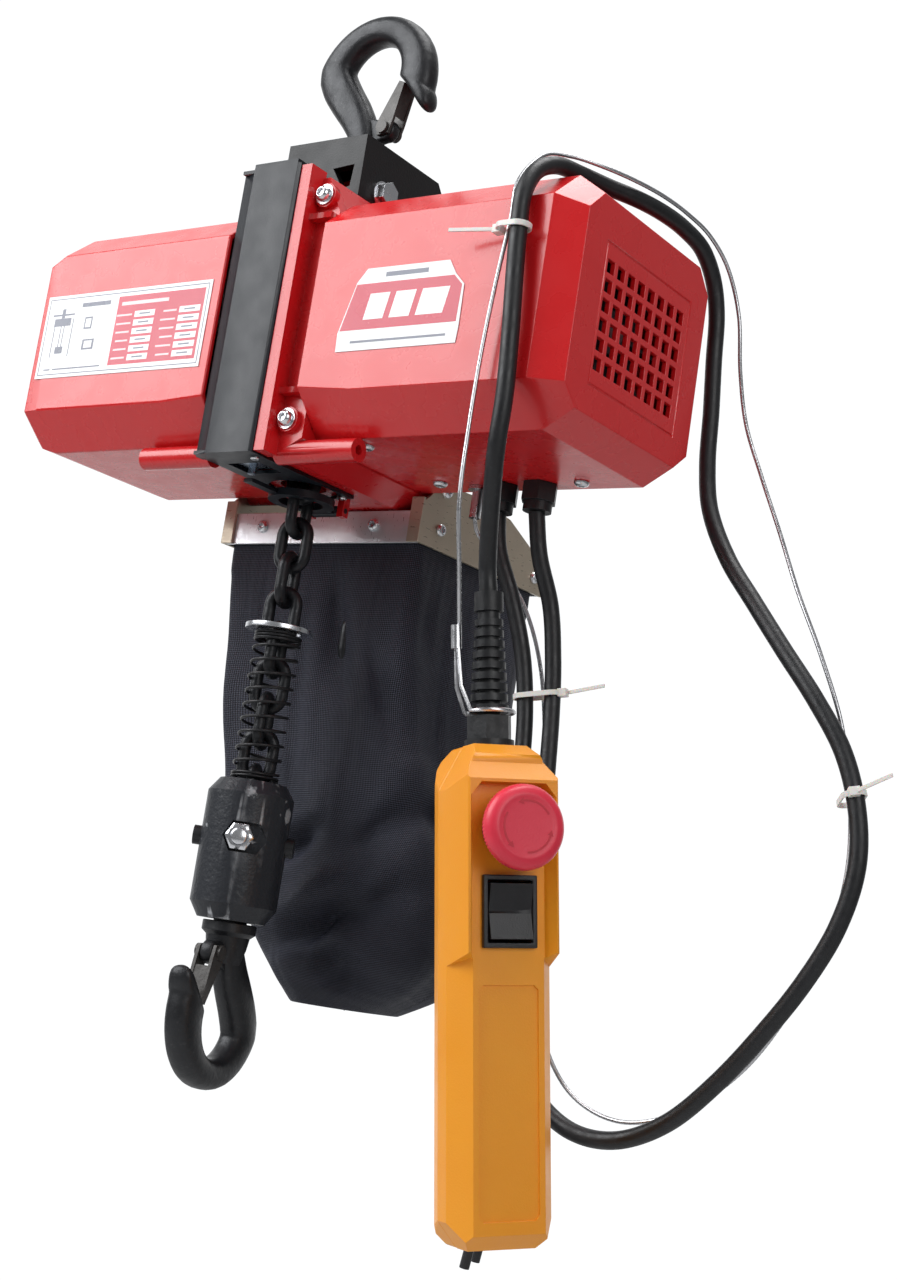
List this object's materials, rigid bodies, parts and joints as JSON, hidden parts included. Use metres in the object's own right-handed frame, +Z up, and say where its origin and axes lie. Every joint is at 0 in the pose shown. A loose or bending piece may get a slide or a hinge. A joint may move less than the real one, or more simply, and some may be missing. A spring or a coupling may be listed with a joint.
{
  "type": "electric chain hoist",
  "caption": "Compact mains-voltage chain hoist with swivel hooks, a vented motor cover, a fabric chain bag and an orange push-button pendant on a cable.",
  "frame": {"origin": "the load saddle of the top hook, where the hook sits on what carries it; the swivel axis passes through it", "axes": "+Z up along the hook's shank, +X towards the vented motor end, -Y towards the front face with the black strip and the labels"},
  "size_m": [0.4974, 0.2458, 0.6442],
  "materials": {
    "forged_steel": "dark forged, oiled, worn bright on the bearing faces",
    "zinc_steel": "zinc plated fasteners and plates",
    "latch_steel": "dull grey pressed sheet",
    "bracket_black": "black powder coat, fine texture",
    "frame_red": "red enamel on a casting",
    "cover_red": "glossy red enamel",
    "strip_black": "satin black folded trim",
    "switch_zinc": "zinc plated switch case",
    "label_white": "white film with a crimson panel, no lettering",
    "bag_plate": "stainless sheet, warm reflections",
    "bag_fabric": "coated nylon with a coarse diagonal weave",
    "chain_steel": "black oxide hardened chain",
    "gear_steel": "machined gear steel",
    "bearing_steel": "ground bearing steel",
    "die_cast": "die-cast end plates",
    "lamination": "stator laminations",
    "copper": "enamelled copper windings",
    "rotor_steel": "rotor core and shaft",
    "friction": "brake lining",
    "fan_plastic": "moulded fan",
    "capacitor_case": "pale capacitor can",
    "board_green": "circuit board",
    "relay_black": "contactor body",
    "spring_black": "black spring wire",
    "block_black": "worn black paint on a casting",
    "pendant_orange": "yellow-orange moulded plastic, fine texture",
    "switch_black": "black moulded plastic",
    "estop_dark_red": "dark red plunger",
    "estop_red": "red mushroom head",
    "rubber_black": "black cable jacket and boots",
    "rope_steel": "galvanised wire rope",
    "plug_black": "moulded plug",
    "tie_natural": "natural white nylon cable tie"
  },
  "bodies": {
    "top_hook_body": {"top_hook": "forged_steel", "top_hook_nut": "forged_steel"},
    "hoist": {"suspension_bracket": "bracket_black", "bracket_bolts": "zinc_steel", "main_frame": "frame_red", "left_cover": "cover_red", "right_cover": "cover_red", "case_screws": "zinc_steel", "front_strip": "strip_black", "limit_switch": "switch_zinc", "labels": "label_white", "bag_cross_plates": "zinc_steel", "bag_side_plates": "bag_plate", "bag_screws": "zinc_steel", "chain_bag": "bag_fabric", "slack_chain": "chain_steel", "motor_end_plates": "die_cast", "bearings": "bearing_steel", "stator": "lamination", "windings": "copper", "brake_coil": "copper", "capacitor": "capacitor_case", "control_board": "board_green", "contactors": "relay_black", "pendant_front": "pendant_orange", "pendant_rear": "pendant_orange", "contact_block": "switch_black", "switch_bezels": "switch_black", "pendant_gland": "rubber_black", "control_cable": "rubber_black", "wire_rope": "rope_steel", "power_cord": "rubber_black", "cable_glands": "rubber_black", "power_plug": "plug_black", "rope_fittings": "rope_steel", "cable_ties": "tie_natural"},
    "top_latch_body": {"top_latch": "latch_steel"},
    "load_block": {"load_chain": "chain_steel", "limit_spring": "spring_black", "block_front_half": "block_black", "block_rear_half": "block_black", "block_bolt": "zinc_steel", "block_side_screws": "forged_steel"},
    "washer_body": {"spring_washer": "zinc_steel"},
    "lower_hook_body": {"lower_hook": "forged_steel", "lower_hook_nut": "forged_steel"},
    "lower_latch_body": {"lower_latch": "latch_steel"},
    "estop_plunger": {"estop_stem": "estop_dark_red"},
    "estop_knob": {"estop_head": "estop_red"},
    "rocker_body": {"rocker": "switch_black"},
    "sheave_body": {"load_sheave": "gear_steel", "output_gear": "gear_steel"},
    "idler_body": {"idler_gear": "gear_steel"},
    "clutch_body": {"clutch_shaft": "gear_steel"},
    "clutch_ring": {"clutch_gear": "gear_steel"},
    "rotor_body": {"rotor": "rotor_steel", "brake_disc": "friction", "fan": "fan_plastic"},
    "armature_body": {"brake_armature": "rotor_steel"},
    "limit_flap": {"limit_plate": "strip_black"}
  },
  "joints": [
    {"name": "hoist_swivel", "type": "hinge", "parent": "top_hook_body", "child": "hoist", "pos_m": [0, 0, -0.08], "axis": [0, 0, 1], "continuous": true},
    {"name": "top_latch_open", "type": "hinge", "parent": "top_hook_body", "child": "top_latch_body", "pos_m": [0.015, 0, -0.053], "axis": [0, -1, 0], "range_deg": [0, 36], "stiffness_Nm_per_rad": 0.04, "springref_deg": -20.05},
    {"name": "lift_slide", "type": "slide", "parent": "hoist", "child": "load_block", "axis": [0, 0, 1], "range_m": [-0.03, 0.06]},
    {"name": "washer_slide", "type": "slide", "parent": "load_block", "child": "washer_body", "axis": [0, 0, 1], "range_m": [-0.03, 0], "stiffness_N_per_m": 300, "springref_m": 0.01, "deforming": ["limit_spring"]},
    {"name": "lower_hook_swivel", "type": "hinge", "parent": "load_block", "child": "lower_hook_body", "pos_m": [-0.003, 0, -0.48], "axis": [0, 0, 1], "continuous": true},
    {"name": "lower_latch_open", "type": "hinge", "parent": "lower_hook_body", "child": "lower_latch_body", "pos_m": [0.00012, -0.01467, -0.503], "axis": [0.9781, 0.2079, 0], "range_deg": [0, 36], "stiffness_Nm_per_rad": 0.04, "springref_deg": -20.05},
    {"name": "estop_press", "type": "slide", "parent": "hoist", "child": "estop_plunger", "axis": [-0.8382, 0.5426, -0.0551], "range_m": [0, 0.0045]},
    {"name": "estop_twist", "type": "hinge", "parent": "estop_plunger", "child": "estop_knob", "pos_m": [0.19856, -0.04996, -0.4298], "axis": [0.8382, -0.5426, 0.0551], "range_deg": [-35, 0], "stiffness_Nm_per_rad": 0.05, "springref_deg": 5.73},
    {"name": "rocker_tilt", "type": "hinge", "parent": "hoist", "child": "rocker_body", "pos_m": [0.19371, -0.04086, -0.466], "axis": [0.5317, 0.8355, 0.1389], "range_deg": [-8, 8], "stiffness_Nm_per_rad": 0.3},
    {"name": "sheave_spin", "type": "hinge", "parent": "hoist", "child": "sheave_body", "pos_m": [0, 0.031, -0.181], "axis": [1, 0, 0], "range_deg": [-116, 59]},
    {"name": "idler_spin", "type": "hinge", "parent": "hoist", "child": "idler_body", "pos_m": [0.04, -0.0049, -0.1918], "axis": [1, 0, 0], "range_deg": [-230, 457]},
    {"name": "clutch_spin", "type": "hinge", "parent": "hoist", "child": "clutch_body", "pos_m": [0.04, -0.0173, -0.158], "axis": [1, 0, 0], "range_deg": [-2276, 1139]},
    {"name": "rotor_spin", "type": "hinge", "parent": "hoist", "child": "rotor_body", "pos_m": [0.1, 0, -0.181], "axis": [1, 0, 0], "continuous": true},
    {"name": "clutch_ring_spin", "type": "hinge", "parent": "hoist", "child": "clutch_ring", "pos_m": [0.0465, -0.0173, -0.158], "axis": [1, 0, 0], "continuous": true},
    {"name": "brake_release", "type": "slide", "parent": "hoist", "child": "armature_body", "axis": [-1, 0, 0], "range_m": [0, 0.0006], "stiffness_N_per_m": 2000, "springref_m": -0.002},
    {"name": "limit_plate_tilt", "type": "hinge", "parent": "hoist", "child": "limit_flap", "pos_m": [-0.003, 0.022, -0.2615], "axis": [1, 0, 0], "range_deg": [-1.5, 0]}
  ],
  "couplings": [
    {"joint": "sheave_spin", "follows": "lift_slide", "rad_per_m": -33.069},
    {"joint": "idler_spin", "follows": "lift_slide", "rad_per_m": 132.28},
    {"joint": "clutch_spin", "follows": "lift_slide", "rad_per_m": -661.38},
    {"joint": "clutch_ring_spin", "follows": "rotor_spin", "ratio": -0.2}
  ]
}
